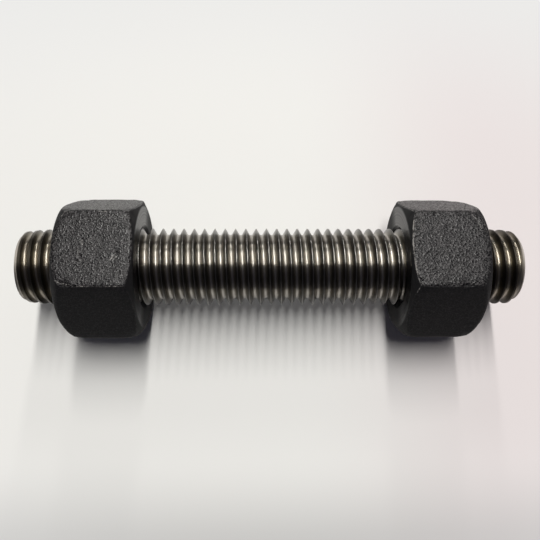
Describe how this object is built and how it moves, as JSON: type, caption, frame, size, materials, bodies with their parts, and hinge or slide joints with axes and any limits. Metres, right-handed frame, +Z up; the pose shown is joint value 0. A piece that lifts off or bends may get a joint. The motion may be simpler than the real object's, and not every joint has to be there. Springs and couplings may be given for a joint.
{
  "type": "double ended stud",
  "caption": "Steel stud bolt threaded from end to end, with a heavy hex nut near each end, for clamping two flanges together.",
  "frame": {"origin": "middle of the stud's axis, half way between its two ends", "axes": "+X along the stud, towards the right nut; +Z up, square to the flats that the two nuts lie on; +Y completes the frame"},
  "size_m": [0.1206, 0.0358, 0.0312],
  "materials": {
    "stud_steel": "bare machined steel, dark with a warm oil film",
    "nut_steel": "matt black oxide on forged steel, worn at the corners"
  },
  "bodies": {
    "stud": {"stud": "stud_steel"},
    "left_nut": {"left_nut": "nut_steel"},
    "right_nut": {"right_nut": "nut_steel"}
  },
  "joints": [
    {"name": "left_nut_travel", "type": "slide", "parent": "stud", "child": "left_nut", "axis": [1, 0, 0], "range_m": [-0.03048, 0.03048]},
    {"name": "right_nut_travel", "type": "slide", "parent": "stud", "child": "right_nut", "axis": [1, 0, 0], "range_m": [-0.03048, 0.03048]}
  ]
}
